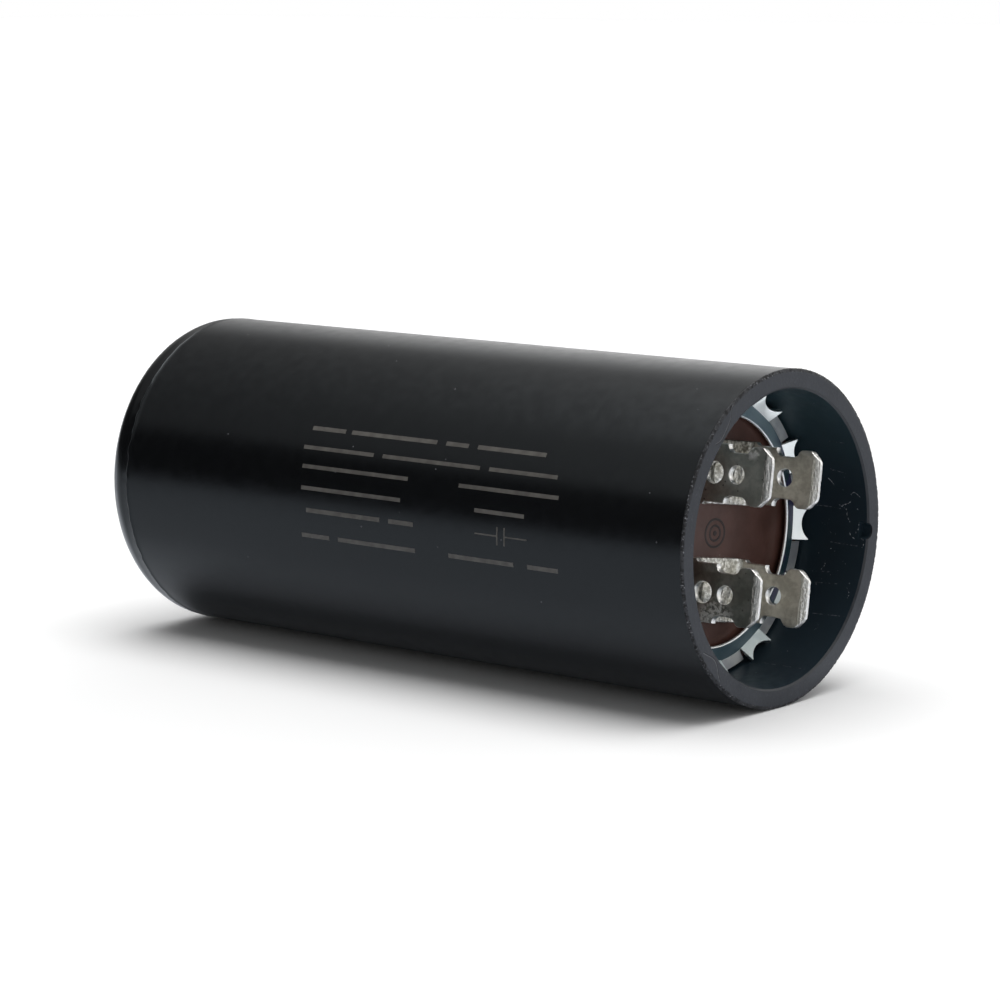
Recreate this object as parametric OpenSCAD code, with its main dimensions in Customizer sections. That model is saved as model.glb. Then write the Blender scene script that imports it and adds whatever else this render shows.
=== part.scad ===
// Motor start capacitor in a round moulded case, with two dual-tab terminals.
// It stands on its closed end: Z is the axis of the case and the terminals are at the top.
// All sizes are in millimetres.

/* [Case] */
// Outside diameter of the case
case_d = 36.5; // [34:0.1:52]
// Length of the case, from the closed end to the rim
case_len = 85.7; // [62:0.1:120]
// Wall thickness at the mouth
mouth_wall = 2.2; // [1.6:0.1:2.8]
// Thickness of the closed end
floor_t = 2.5; // [1.6:0.1:4]
// Rounding of the edge round the closed end
end_round = 4.1; // [1:0.1:5]
// Width of the ledge that carries the seal
ledge_w = 1; // [0.6:0.1:1.6]
// Depth from the rim down to the face of the header
recess = 9.3; // [7:0.1:14]
// Radius of the moulded nick in the inner edge of the rim
nick_r = 0.85; // [0.4:0.05:1.1]
// Depth of the nick below the rim
nick_depth = 1.2; // [0.5:0.1:3]
// Direction of the nick round the axis, in degrees
nick_turn = 184.5; // [0:0.5:359.5]

/* [Header and seal] */
// Thickness of the header disc
header_t = 3.2; // [2:0.1:5]
// Radial clearance of the header and the seal in the mouth
header_gap = 0.25; // [0.1:0.05:0.5]
// Thickness of the seal under the header
gasket_t = 1.2; // [0.8:0.1:2]
// Radial width of the seal
gasket_w = 2.2; // [1.7:0.1:3]

/* [Retaining ring] */
// Sheet thickness of the ring
ring_t = 0.4; // [0.25:0.05:0.6]
// Radial width of the plain band
band_w = 2; // [1.5:0.1:3]
// How far the inner edge of the band stands above the header
band_dish = 0.55; // [0:0.05:0.8]
// Radial room between the fold of the teeth and the wall of the mouth
fold_room = 1.5; // [1.2:0.05:2]
// Number of teeth
tooth_count = 12; // [8:1:14]
// Width of one tooth
tooth_w = 3.8; // [2.5:0.1:4.2]
// Slope of the teeth above the header, in degrees
tooth_slope = 43; // [30:1:60]
// Depth of the hollow in the end of a tooth
hollow_depth = 0.8; // [0.4:0.05:1]
// Width of the point left on each side of the hollow
point_w = 0.12; // [0.05:0.01:0.3]
// Direction of the first tooth round the axis, in degrees
tooth_turn = 5; // [0:0.5:29.5]
// Clearance from the points of the teeth to the wall
tooth_gap = 0.02; // [0:0.01:0.1]
// Width of the slits beside a tooth
slit_w = 0.25; // [0.15:0.05:0.5]
// Clearance from the lugs between the teeth to the wall
lug_gap = 0.35; // [0.2:0.05:0.6]
// How far the outer edge of a lug stands above the header
lug_rise = 0.2; // [0:0.05:0.4]

/* [Terminals] */
// Width of a quick-connect tab
tab_w = 6.35; // [4.75:0.05:6.35]
// Sheet thickness of the terminals
tab_t = 0.8; // [0.5:0.1:0.9]
// Height of the tabs above the header
tab_h = 10.1; // [9.6:0.1:13]
// Distance over the outer faces of the two tabs of a terminal
tab_span = 9.8; // [9:0.1:11]
// Distance between the centres of the two terminals
terminal_pitch = 12.8; // [12:0.1:14]
// Width of the foot plate under the tabs
foot_w = 7; // [6.4:0.1:7.4]
// Height of the wide part at the root of a tab
foot_rise = 1.6; // [1:0.1:2]
// Inside radius of the bends
bend_r = 0.6; // [0.3:0.1:1]
// Width cut from each corner of a tab
corner_w = 1.1; // [0.6:0.1:1.6]
// Height cut from each corner of a tab
corner_h = 1.25; // [0.6:0.05:1.6]
// Length of the thinned edge at the end of a tab
edge_len = 0.9; // [0.4:0.1:1.2]
// Sheet thickness left at the thinned edge
edge_t = 0.4; // [0.2:0.05:0.5]
// Distance from the end of a tab to its side notches
notch_start = 2.2; // [2:0.05:2.5]
// Length of a side notch
notch_len = 3.5; // [3:0.1:3.8]
// Depth of a side notch
notch_depth = 0.85; // [0.4:0.05:1]
// Radius of the inner corner of a side notch, near the foot
notch_r = 0.75; // [0.3:0.05:0.8]
// Radius of both curves that lead from a side notch out to the end of a tab
head_r = 0.75; // [0.5:0.05:1]
// Diameter of the small hole in a tab
hole_d = 1.95; // [1.4:0.05:2.2]
// Distance of the small hole from the end of a tab
hole_place = 4.35; // [4.1:0.05:4.6]
// Diameter of the large hole in a tab
large_hole_d = 2.3; // [1.8:0.1:2.5]
// Distance of the large hole from the end of a tab
large_hole_place = 7.25; // [7:0.05:7.4]

/* [Rivets and leads] */
// Diameter of a rivet shank
rivet_d = 2.8; // [2:0.1:3.4]
// Clearance of a shank in its holes
rivet_gap = 0.1; // [0.05:0.05:0.3]
// Diameter of a rivet head
rivet_head_d = 5; // [4.4:0.1:5.6]
// Height of a rivet head
rivet_head_h = 0.9; // [0.5:0.1:1.2]
// Diameter of the bore in the upper end of a rivet
rivet_bore_d = 1; // [0.6:0.1:1.4]
// Depth of the bore in a rivet
rivet_bore_depth = 1.2; // [0.6:0.1:2]
// Sheet thickness of a lead strap
lead_t = 0.4; // [0.2:0.1:0.6]
// Width of a lead strap
lead_w = 5; // [4:0.1:7]
// Clearance from a lead strap's bend to the rivet beside it
lead_gap = 0.3; // [0.1:0.1:0.6]

/* [Winding] */
// Space between the header and the winding
head_space = 5.5; // [4:0.1:8]
// Radial clearance of the winding in the case
winding_gap = 0.4; // [0.2:0.1:1]
// Diameter of the hole that the winding arbor leaves
arbor_d = 4; // [3:0.1:6]

/* [Hidden] */
$fn = 96;
// How far a cut runs past the face it opens
cut_room = 1;
// How far a tooth's root lies inside the band's faces
root_inset = ring_t / 5;
// Radial length of a tooth's root inside the band
root_len = 2 * ring_t;
// Height of the straight rim of a rivet head
head_rim_h = rivet_head_h / 3;
case_r = case_d / 2;
mouth_r = case_r - mouth_wall;
chamber_r = mouth_r - ledge_w;
header_top = case_len - recess;
header_bottom = header_top - header_t;
ledge_z = header_bottom - gasket_t;
header_r = mouth_r - header_gap;
fold_r = mouth_r - fold_room;
lug_r = mouth_r - lug_gap;
fold_x = sqrt(pow(fold_r, 2) - pow((tooth_w + slit_w) / 2, 2));
tooth_reach = sqrt(pow(mouth_r - tooth_gap, 2) - pow(tooth_w / 2, 2)) - fold_x;
tooth_len = tooth_reach / cos(tooth_slope);
hollow_half = tooth_w / 2 - point_w;
hollow_r = (pow(hollow_half, 2) + pow(hollow_depth, 2)) / (2 * hollow_depth);
outer_bend_r = bend_r + tab_t;
neck_half = tab_w / 2 - notch_depth;
notch_low = tab_h - notch_start - notch_len;
notch_high = tab_h - notch_start;
curve_len = sqrt(notch_depth * (4 * head_r - notch_depth));
foot_top = header_top + tab_t;
rivet_top = foot_top + rivet_head_h;
terminal_y = terminal_pitch / 2;
rivet_hole_d = rivet_d + 2 * rivet_gap;
lead_bottom = header_bottom - lead_t;
winding_top = header_bottom - head_space;
winding_r = chamber_r - winding_gap;

// Moulded cup: rounded closed end, chamber for the winding, wider mouth above a ledge
module case() {
    color([0.07, 0.07, 0.08])
    difference() {
        case_solid();
        translate([0, 0, floor_t])
            cylinder(r = chamber_r, h = case_len);
        translate([0, 0, ledge_z])
            cylinder(r = mouth_r, h = case_len);
        rotate([0, 0, nick_turn])
            translate([mouth_r, 0, case_len - nick_depth])
                cylinder(r = nick_r, h = nick_depth + cut_room);
    }
}

module case_solid() {
    rotate_extrude() {
        square([case_r - end_round, case_len]);
        translate([0, end_round])
            square([case_r, case_len - end_round]);
        intersection() {
            translate([case_r - end_round, end_round])
                circle(r = end_round);
            square([case_r, case_len]);
        }
    }
}

// Insulating disc that carries both terminals and closes the chamber
module header() {
    color([0.27, 0.19, 0.16])
    difference() {
        translate([0, 0, header_bottom])
            cylinder(r = header_r, h = header_t);
        at_terminals()
            translate([0, 0, header_bottom - cut_room])
                cylinder(d = rivet_hole_d, h = header_t + 2 * cut_room);
    }
}

// Flat rubber ring between the header and the ledge
module header_gasket() {
    color([0.12, 0.12, 0.12])
    translate([0, 0, ledge_z])
    difference() {
        cylinder(r = header_r, h = gasket_t);
        translate([0, 0, -cut_room])
            cylinder(r = header_r - gasket_w, h = gasket_t + 2 * cut_room);
    }
}

// Spring ring that holds the header down: a dished band, flat lugs and raised biting teeth
module retaining_ring() {
    color([0.45, 0.56, 0.62])
    translate([0, 0, header_top]) {
        difference() {
            ring_sheet();
            ring_pattern()
                tooth_slot();
        }
        ring_pattern()
            tooth();
    }
}

module ring_pattern() {
    for (i = [0 : tooth_count - 1])
        rotate([0, 0, tooth_turn + i * 360 / tooth_count])
            children();
}

module ring_sheet() {
    rotate_extrude()
        polygon([
            [fold_r - band_w, band_dish],
            [fold_r, 0],
            [lug_r, lug_rise],
            [lug_r, lug_rise + ring_t],
            [fold_r, ring_t],
            [fold_r - band_w, band_dish + ring_t]
        ]);
}

module tooth_slot() {
    translate([fold_x, -tooth_w / 2 - slit_w, -cut_room])
        cube([2 * fold_room, tooth_w + 2 * slit_w, ring_t + lug_rise + 2 * cut_room]);
}

// One tooth: its end is hollowed, which leaves two sharp points to bite the wall
module tooth() {
    difference() {
        rotate([90, 0, 0])
            translate([0, 0, -tooth_w / 2])
                linear_extrude(height = tooth_w)
                    tooth_side();
        translate([fold_x, 0, 0])
            rotate([0, -tooth_slope, 0])
                translate([tooth_len + hollow_r - hollow_depth, 0, -ring_t])
                    cylinder(r = hollow_r, h = 3 * ring_t);
    }
}

// Bent sheet of a tooth seen from the side, with its root inside the band
module tooth_side() {
    root_x = fold_x - root_len;
    root_z = band_dish * (fold_r - root_x) / band_w;
    tip_x = fold_x + tooth_len * cos(tooth_slope);
    tip_z = tooth_len * sin(tooth_slope);
    top_x = tip_x - ring_t * sin(tooth_slope);
    top_z = tip_z + ring_t * cos(tooth_slope);
    top_run = (top_z - ring_t + root_inset) / tan(tooth_slope);
    polygon([
        [root_x, root_z + root_inset],
        [fold_x, root_inset],
        [tip_x, tip_z],
        [top_x, top_z],
        [top_x - top_run, ring_t - root_inset],
        [root_x, root_z + ring_t - root_inset]
    ]);
}

// Terminal of folded sheet: a foot plate and two upright quick-connect tabs
module terminal_a() {
    color([0.72, 0.71, 0.68])
    translate([0, -terminal_y, header_top])
        terminal();
}

module terminal_b() {
    color([0.72, 0.71, 0.68])
    translate([0, terminal_y, header_top])
        terminal();
}

module terminal() {
    difference() {
        intersection() {
            rotate([90, 0, 0])
                translate([0, 0, -foot_w])
                    linear_extrude(height = 2 * foot_w)
                        terminal_side();
            rotate([90, 0, 90])
                translate([0, 0, -tab_span])
                    linear_extrude(height = 2 * tab_span)
                        tab_outline();
        }
        translate([0, 0, tab_h - hole_place])
            rotate([0, 90, 0])
                cylinder(d = hole_d, h = 2 * tab_span, center = true);
        translate([0, 0, tab_h - large_hole_place])
            rotate([0, 90, 0])
                cylinder(d = large_hole_d, h = 2 * tab_span, center = true);
        translate([0, 0, -cut_room])
            cylinder(d = rivet_hole_d, h = tab_t + 2 * cut_room);
    }
}

// Folded sheet seen from the side
module terminal_side() {
    difference() {
        round_foot_box(tab_span / 2, 0, outer_bend_r);
        round_foot_box(tab_span / 2 - tab_t, tab_t, bend_r);
        for (side = [-1, 1])
            scale([side, 1])
                tab_edge_cuts();
    }
}

module round_foot_box(half, low, r) {
    translate([-half, low + r])
        square([2 * half, tab_h - low - r + (low > 0 ? cut_room : 0)]);
    translate([-half + r, low])
        square([2 * (half - r), tab_h - low]);
    for (side = [-1, 1])
        translate([side * (half - r), low + r])
            circle(r = r);
}

// Slivers taken off both faces at the end of a tab
module tab_edge_cuts() {
    cut = (tab_t - edge_t) / 2;
    outer = tab_span / 2;
    inner = outer - tab_t;
    polygon([
        [outer, tab_h - edge_len],
        [outer + cut_room, tab_h - edge_len],
        [outer + cut_room, tab_h + cut_room],
        [outer - cut, tab_h + cut_room],
        [outer - cut, tab_h]
    ]);
    polygon([
        [inner, tab_h - edge_len],
        [inner - cut_room, tab_h - edge_len],
        [inner - cut_room, tab_h + cut_room],
        [inner + cut, tab_h + cut_room],
        [inner + cut, tab_h]
    ]);
}

// Tab and foot seen from the front
module tab_outline() {
    half = tab_w / 2;
    foot_half = foot_w / 2;
    difference() {
        polygon([
            [-foot_half, 0],
            [foot_half, 0],
            [foot_half, foot_rise],
            [half, foot_rise + foot_half - half],
            [half, tab_h - corner_h],
            [half - corner_w, tab_h],
            [corner_w - half, tab_h],
            [-half, tab_h - corner_h],
            [-half, foot_rise + foot_half - half],
            [-foot_half, foot_rise]
        ]);
        for (side = [-1, 1])
            scale([side, 1])
                side_notch();
    }
}

// Notch in the side of a tab: straight at the neck, with a rounded low corner
module side_notch() {
    translate([neck_half, notch_low + notch_r])
        square([notch_depth + cut_room, notch_len - notch_r - curve_len]);
    translate([neck_half + notch_r, notch_low])
        square([notch_depth + cut_room, notch_r]);
    translate([neck_half + notch_r, notch_low + notch_r])
        circle(r = notch_r);
    head_curve();
}

// End of a notch: a hollow curve and a round one, which meet halfway
module head_curve() {
    start = notch_high - curve_len;
    middle_y = tab_w / 2 - notch_depth / 2;
    intersection() {
        translate([neck_half + head_r, start])
            circle(r = head_r);
        translate([neck_half, start])
            square([notch_depth / 2, curve_len / 2]);
    }
    difference() {
        translate([middle_y, start])
            square([notch_depth / 2 + cut_room, curve_len]);
        translate([tab_w / 2 - head_r, notch_high])
            circle(r = head_r);
    }
}

// Two rivets that join the terminals to the lead straps through the header
module terminal_rivets() {
    color([0.78, 0.77, 0.74])
    at_terminals()
        rotate_extrude()
            rivet_profile();
}

// Half of a rivet's section, with the bore in its upper end
module rivet_profile() {
    difference() {
        rivet_solid();
        translate([0, rivet_top - rivet_bore_depth])
            square([rivet_bore_d / 2, rivet_bore_depth + cut_room]);
    }
}

module rivet_solid() {
    rivet_head_r = rivet_head_d / 2;
    tail_z = lead_bottom - rivet_head_h;
    translate([0, tail_z])
        square([rivet_d / 2, rivet_top - tail_z]);
    for (place = [[foot_top, 1], [lead_bottom, -1]])
        translate([0, place[0]])
            scale([1, place[1]])
                polygon([
                    [0, 0],
                    [rivet_head_r, 0],
                    [rivet_head_r, head_rim_h],
                    [rivet_head_r - 2 * head_rim_h, rivet_head_h],
                    [0, rivet_head_h]
                ]);
}

// Two aluminium straps from the rivets down to the winding
module lead_straps() {
    color([0.80, 0.80, 0.82])
    difference() {
        for (side = [-1, 1])
            scale([1, side, 1])
                lead_strap();
        at_terminals()
            translate([0, 0, lead_bottom - cut_room])
                cylinder(d = rivet_hole_d, h = lead_t + 2 * cut_room);
    }
}

module lead_strap() {
    reach = rivet_head_d / 2 + lead_gap;
    inside = terminal_y - reach - lead_t;
    outside = terminal_y + reach;
    rotate([90, 0, 90])
        translate([0, 0, -lead_w / 2])
            linear_extrude(height = lead_w)
                polygon([
                    [outside, header_bottom],
                    [inside, header_bottom],
                    [inside, winding_top],
                    [terminal_y, winding_top],
                    [terminal_y, winding_top + lead_t],
                    [inside + lead_t, winding_top + lead_t],
                    [inside + lead_t, lead_bottom],
                    [outside, lead_bottom]
                ]);
}

// Roll of foil and paper, soaked in electrolyte
module winding() {
    color([0.85, 0.83, 0.76])
    translate([0, 0, floor_t])
    difference() {
        cylinder(r = winding_r, h = winding_top - floor_t);
        translate([0, 0, -cut_room])
            cylinder(d = arbor_d, h = winding_top + 2 * cut_room);
    }
}

module at_terminals() {
    for (side = [-1, 1])
        translate([0, side * terminal_y, 0])
            children();
}

case();
header();
header_gasket();
retaining_ring();
terminal_a();
terminal_b();
terminal_rivets();
lead_straps();
winding();
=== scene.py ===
"""Looks of a motor start capacitor, dressed round its CAD frame."""

import math
import random
from collections import namedtuple

import bmesh
import bpy
from mathutils import Matrix, Vector, noise

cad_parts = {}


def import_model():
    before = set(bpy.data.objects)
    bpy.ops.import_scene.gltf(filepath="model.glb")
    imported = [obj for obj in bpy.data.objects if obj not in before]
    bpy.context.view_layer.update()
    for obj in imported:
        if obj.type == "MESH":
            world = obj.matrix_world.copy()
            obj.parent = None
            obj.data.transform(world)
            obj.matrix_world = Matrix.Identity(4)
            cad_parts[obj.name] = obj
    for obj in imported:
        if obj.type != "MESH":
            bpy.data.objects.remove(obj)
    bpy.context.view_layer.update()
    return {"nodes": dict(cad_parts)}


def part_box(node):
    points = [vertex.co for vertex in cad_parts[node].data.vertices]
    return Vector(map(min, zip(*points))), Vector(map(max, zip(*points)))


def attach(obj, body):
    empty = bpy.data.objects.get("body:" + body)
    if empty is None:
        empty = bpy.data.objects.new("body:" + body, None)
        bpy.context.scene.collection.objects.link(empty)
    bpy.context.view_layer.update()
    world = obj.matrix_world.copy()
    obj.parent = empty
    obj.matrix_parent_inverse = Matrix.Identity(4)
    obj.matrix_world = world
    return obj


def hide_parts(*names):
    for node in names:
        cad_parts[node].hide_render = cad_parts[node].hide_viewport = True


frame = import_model()

# Sizes in metres, from the frame where it gives them
MM = 0.001
AXIS = Vector((0, 0, 1))
CASE_LOW, CASE_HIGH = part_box("case")
CASE_TOP = CASE_HIGH.z
CASE_R = (CASE_HIGH.y - CASE_LOW.y) / 2
HEADER_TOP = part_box("header")[1].z

# Case
SIDE_R = CASE_R - 0.05 * MM
MOUTH_R = 16.05 * MM
CHAMBER_R = 15.05 * MM
END_ROUND = 4.1 * MM
END_STEPS = 12
FLOOR_T = 2.5 * MM
LEDGE_Z = 72.0 * MM
NICK_R = 0.85 * MM
NICK_DEPTH = 1.2 * MM
NICK_REACH = 0.5 * MM
NICK_TURN = math.radians(184.5)
CASE_SEGMENTS = 1080
MERGE_NEAR = 0.001 * MM

# Parting line of the case: a low ridge that waves a little, as steps of (out, up) in millimetres
PARTING_Z = 4.55 * MM
PARTING_STEPS = ((-0.01, -0.12), (0.035, 0.0), (0.0, 0.13))
PARTING_END = 0.6 * MM
PARTING_WAVE = 0.2 * MM
PARTING_GRAIN = 900.0
PARTING_SEED = 3.0

# Rim of the case, with a worn outer edge in steps of (share of RIM_WORN, share of RIM_BURR, roughness)
RIM_BEVEL = 0.2 * MM
RIM_LINE = 0.09 * MM
RIM_BURR = 0.2 * MM
RIM_WORN = 0.34 * MM
WORN_STEPS = ((0.0, 1.0, 0.6), (0.08, 0.6, 0.6), (0.45, 0.2, 1.0))
BURR_START = 0.12 * MM
BURR_FOOT = 0.05 * MM

# Chips of the worn edge, from layers of noise as (grain, weight, seed)
CHIP_DEPTH = 0.09 * MM
CHIP_REACH = 0.14 * MM
CHIP_LAYERS = ((3600.0, 1.0, 4.0), (8200.0, 0.7, 14.0))
CHIP_SEED_STEP = 3
CHIP_SHIFT = 0.25
CHIP_DROP = 0.6

# Places of the rings that divide the plain faces of the case, in millimetres
END_RINGS = (0, 3, 7, 11)
SIDE_RINGS = (10, 20, 30, 40, 50, 60, 70, 78, 82, 84.5)
MOUTH_RINGS = (82, 80, 78, 76, 74)
CHAMBER_RING = 40

# Finishes of the faces: of the case, the ring, a terminal, the rivets and the scuffs
OUTSIDE, RIM, INSIDE, CHIPS, LIP, SEAM = range(6)
BAND, CUT, LUG, TOOTH = range(4)
OUTER, OUTER_END, SHEARED, FOOT, INNER, INNER_END = range(6)
RIVET_TOP, RIVET_SHADED_SIDE = range(2)
LINT, HAZE = range(2)

# Sheet metal, in millimetres: these pieces are built in millimetres and scaled at the end
RING_T = 0.4
RING_SEGMENTS = 720
BAND_W = 2.0
BAND_DISH = 0.55
FOLD_R = 14.55
LUG_R = 15.7
LUG_RISE = 0.2
TOOTH_COUNT = 12
TOOTH_TURN = 5.0
TOOTH_W = 3.8
TOOTH_SLOPE = 43.0
TOOTH_GAP = 0.02
TOOTH_EDGE = 0.04
HOLLOW_DEPTH = 0.8
POINT_W = 0.12
SLIT_W = 0.25
ROOT_LEN = 0.6
ROOT_SINK = 0.03
ROOT_THIN = 4
TOOTH_BEND = 0.08
RING_BEVEL = 0.19
# Width of the painted highlight at the fold of the band
FOLD_HIGHLIGHT = 0.07
FOLD_X = math.sqrt(FOLD_R ** 2 - ((TOOTH_W + SLIT_W) / 2) ** 2)
TOOTH_TIP = math.sqrt((MOUTH_R / MM - TOOTH_GAP) ** 2 - (TOOTH_W / 2) ** 2)
TOOTH_LEN = (TOOTH_TIP - FOLD_X) / math.cos(math.radians(TOOTH_SLOPE))
TAB_W = 6.35
TAB_T = 0.8
TAB_H = 10.1
TAB_SPAN = 9.8
TAB_EDGE = 0.1
TERMINAL_Y = 6.4
FOOT_W = 7.0
FOOT_RISE = 1.6
BEND_R = 0.6
CORNER_W = 1.1
CORNER_H = 1.25
CORNER_CUT = 0.12
EDGE_LEN = 0.9
EDGE_T = 0.4
NOTCH_START = 2.2
NOTCH_LEN = 3.5
NOTCH_DEPTH = 0.85
NOTCH_R = 0.75
HEAD_R = 0.75
CURVE_LEN = math.sqrt(NOTCH_DEPTH * (4 * HEAD_R - NOTCH_DEPTH))
HOLE_R = 0.975
HOLE_PLACE = 4.35
LARGE_HOLE_R = 1.15
LARGE_HOLE_PLACE = 7.25
RIVET_HOLE_R = 1.5
HOLE_SIDES = 48
RIVET_ROUND = 0.08
OUTER_BEND = BEND_R + TAB_T
FLAT_HALF = TAB_SPAN / 2 - OUTER_BEND
BEND_LEN = math.pi / 2 * (BEND_R + TAB_T / 2)
BEND_STEPS = 8
CURVE_STEPS = 8
SHEAR_STEP = 0.12
SHEAR_DEPTH = 0.08
SHEAR_GRAIN = 3.1
SHEAR_SEED_A = 1.5
SHEAR_SEED_B = 4.5

# Limits for building the sheets: distances in millimetres, angles in degrees, and the rise of a flat face
JOIN_NEAR = 0.0005
CUT_NEAR = 0.0001
SLIVER = 0.002
SHARP_TURN = 35
SHARP_FOLD = 40
RIVET_FLAT = 0.2
RIVET_SHARP = 25
FLAT_Z = 0.95
RIVET_TOP_Z = 0.3

# Print: rows of plain bars along the case, as (turn in degrees, bar height, [(start, length), ...])
SURFACE_LIFT = 0.012 * MM
PRINT_STEPS = 6
PRINT_ROWS = [
    (-21.0, 0.5, [(32.3, 5.0), (38.2, 12.5), (52.0, 3.2), (56.5, 9.5)]),
    (-13.8, 0.45, [(31.8, 10.5), (43.6, 14.0), (58.9, 9.4)]),
    (-7.0, 0.45, [(32.2, 15.7), (55.2, 13.8)]),
    (0.6, 0.45, [(32.4, 14.8), (57.8, 6.9)]),
    (8.4, 0.5, [(33.3, 11.0), (45.6, 3.6)]),
    (17.6, 0.5, [(32.4, 4.2), (37.9, 11.4), (54.1, 9.1), (65.1, 4.2)]),
]

# A plain two-plate sign beside the print, as rows like those of the print
SIGN_ROWS = [
    (8.4, 0.16, [(58.0, 3.0), (62.2, 3.0)]),
    (8.4, 2.0, [(61.0, 0.2), (62.0, 0.2)]),
]

# Trim marks on the rim, as corners of (turn in degrees, radius in millimetres)
CREASES = [
    [(310.4, 18.0), (311.8, 17.9), (313.5, 17.3), (314.9, 16.9), (320.7, 16.5), (323.4, 16.5),
     (326.0, 17.0)],
    [(43.6, 17.4), (49.4, 16.5), (53.0, 16.6), (55.3, 17.1), (58.4, 17.6)],
]

# Painted shade of a trim mark's groove and a painted highlight on its lip, as flat strips of (shift
# outwards, lift, width) in millimetres
CREASE_LINES = ((0.0, 0.004, 0.12), (0.12, 0.003, 0.1))

# Scratches and lines on the wall of the mouth, as corners of (turn in degrees, height in millimetres)
SCRATCHES = [
    [(194.2, 81.5), (193.1, 82.3), (191.7, 83.0), (190.0, 82.8), (187.2, 83.3)],
    [(193.5, 82.3), (194.8, 83.2), (195.8, 83.5)],
    [(187.6, 84.5), (185.6, 84.4), (184.0, 84.4)],
    [(183.2, 83.3), (181.7, 83.5), (180.9, 84.0)],
    [(181.2, 84.9), (180.6, 85.3), (179.2, 85.3), (177.7, 85.1)],
    [(198.3, 83.5), (199.9, 84.0), (197.4, 84.8)],
    [(170.9, 80.6), (169.0, 80.7), (167.1, 80.3)],
    [(140.9, 82.3), (142.3, 82.6), (144.1, 82.4)],
    [(161.2, 84.2), (158.9, 84.8), (156.8, 84.7)],
    [(204.3, 80.7), (202.8, 81.2), (200.8, 81.5)],
]
LONG_LINES = [
    [(192.4, 78.9), (192.5, 80.5), (192.1, 82.3)],
    [(178.5, 80.7), (178.1, 84.0), (178.2, 85.0)],
    [(221.9, 82.0), (221.6, 84.6)],
    [(208.5, 81.2), (207.2, 83.2)],
    [(118.6, 78.7), (118.8, 84.7)],
    [(166.0, 79.2), (166.7, 81.5)],
    [(161.6, 79.8), (162.2, 83.0)],
    [(148.5, 81.0), (149.0, 85.2)],
    [(187.4, 80.5), (184.1, 80.3), (181.9, 80.9)],
]
SCRATCH_W = 0.085
LONG_LINE_W = 0.075

# Share of a side that each rounding cuts off a path
SMOOTH_CUT = 0.25

# Specks on the same wall, drawn at random: every second one falls into the narrower range of turns
SPECK_COUNT = 34
SPECK_SEED = 7
SPECK_TURNS = ((98, 270), (160, 212))
SPECK_HEIGHTS = (79.5, 85.0)
SPECK_RUNS = (0.05, 0.2)
SPECK_WIDTHS = (0.05, 0.14)

# Sign on the header, in millimetres
MARK_X = -0.3
MARK_Y = 0.3
MARK_LONG = 1.15
MARK_RISE = 0.05
MARK_STEPS = 64
MARK_RINGS = ((1.38, 1.65), (0.68, 0.95), (0.0, 0.3))

# Where finishes change along an axis of the part, in metres: four of these paint light or shade, as the
# comment above each says
# Painted light: the wall of the mouth turns paler towards its top
WALL_PAINTED_LIGHT = (-5.0 * MM, -15.0 * MM)
# Painted light: the ring's band turns paler towards its top
BAND_PAINTED_LIGHT = (2.0 * MM, -9.0 * MM)
BAND_NAVY = (-8.0 * MM, -12.0 * MM)
# Painted shade: the teeth turn darker towards the side that lies low
TOOTH_PAINTED_SHADE = (4.0 * MM, 9.0 * MM)
# Painted shadow: the foot of the first terminal turns darker near the case's upper wall
FOOT_PAINTED_SHADOW = (-8.0 * MM, -8.8 * MM)
TIP_BRIGHT = (HEADER_TOP + (TAB_H - EDGE_LEN) * MM, HEADER_TOP + (TAB_H - EDGE_LEN / 4) * MM)

# Worn patches on the terminals, as (middle, reach) in metres, and the share of the reach that is full
WORN_A = ((4.9 * MM, -9.2 * MM, HEADER_TOP + 7.5 * MM), 1.4 * MM)
WORN_B = ((4.9 * MM, 9.3 * MM, HEADER_TOP + 4.6 * MM), 3.3 * MM)
WORN_INNER = (WORN_B[0], 1.0 * MM)
WORN_CORE = 0.36

# Spans of a noise that hold its clouds and nearly all of its grain, and a colour that two finishes share
CLOUD_SPAN = (0.35, 0.65)
GRAIN_SPAN = (0.3, 0.7)
WALL_COLOUR = (0.011, 0.0205, 0.029)

# Camera of the photograph
CAMERA_AT = Vector((294.623, -15.584, 286.76)) * MM
CAMERA_LOOK = Vector((-0.77419, 0.04018, -0.63168))
CAMERA_UP = Vector((0.02952, -0.99461, -0.09944))
CAMERA_LENS = 120.575
SENSOR = 36.0

# Stage: the part lies on its side, so the floor touches the side of the case
FLOOR_UP = Vector((0.14977, -0.98876, 0.0)).normalized()
FLOOR_BACK = FLOOR_UP.cross(AXIS).normalized()
# Way of the painted fall-off of light in the floor's colour in reflections
PAINTED_FALLOFF_WAY = FLOOR_BACK * -0.85 - AXIS * 0.53
FLOOR_HALF = 4.0

# Pools of light painted on the floor's colour, seen only in reflections, as (level, {way: soft edges in
# metres})
BESIDE = (0.4, {"ahead": [(0.03, 0.012), (-0.015, -0.005)], "along": [(0.09, 0.075)]})
NEAR = (0.45, {"along": [(0.097, 0.102), (0.125, 0.112)], "ahead": [(-0.012, -0.006), (0.03, 0.015)]})
PAST = (0.45, {"along": [(0.086, 0.09), (0.125, 0.112)], "ahead": [(-0.011, -0.015), (-0.035, -0.025)]})
FLOOR_LEVEL = 0.55
# Painted fall-off of light in the floor's colour in reflections, as a span along that way and two levels
PAINTED_FALLOFF_SPAN = (-0.1, 0.6)
PAINTED_FALLOFF_LEVELS = (1.03, 0.2)
# Painted light: where the floor turns whiter to the camera, beyond the closed end, which lightens the shadow
# there
PAINTED_LIGHT_SPAN = (0.03, -0.01)

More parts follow.
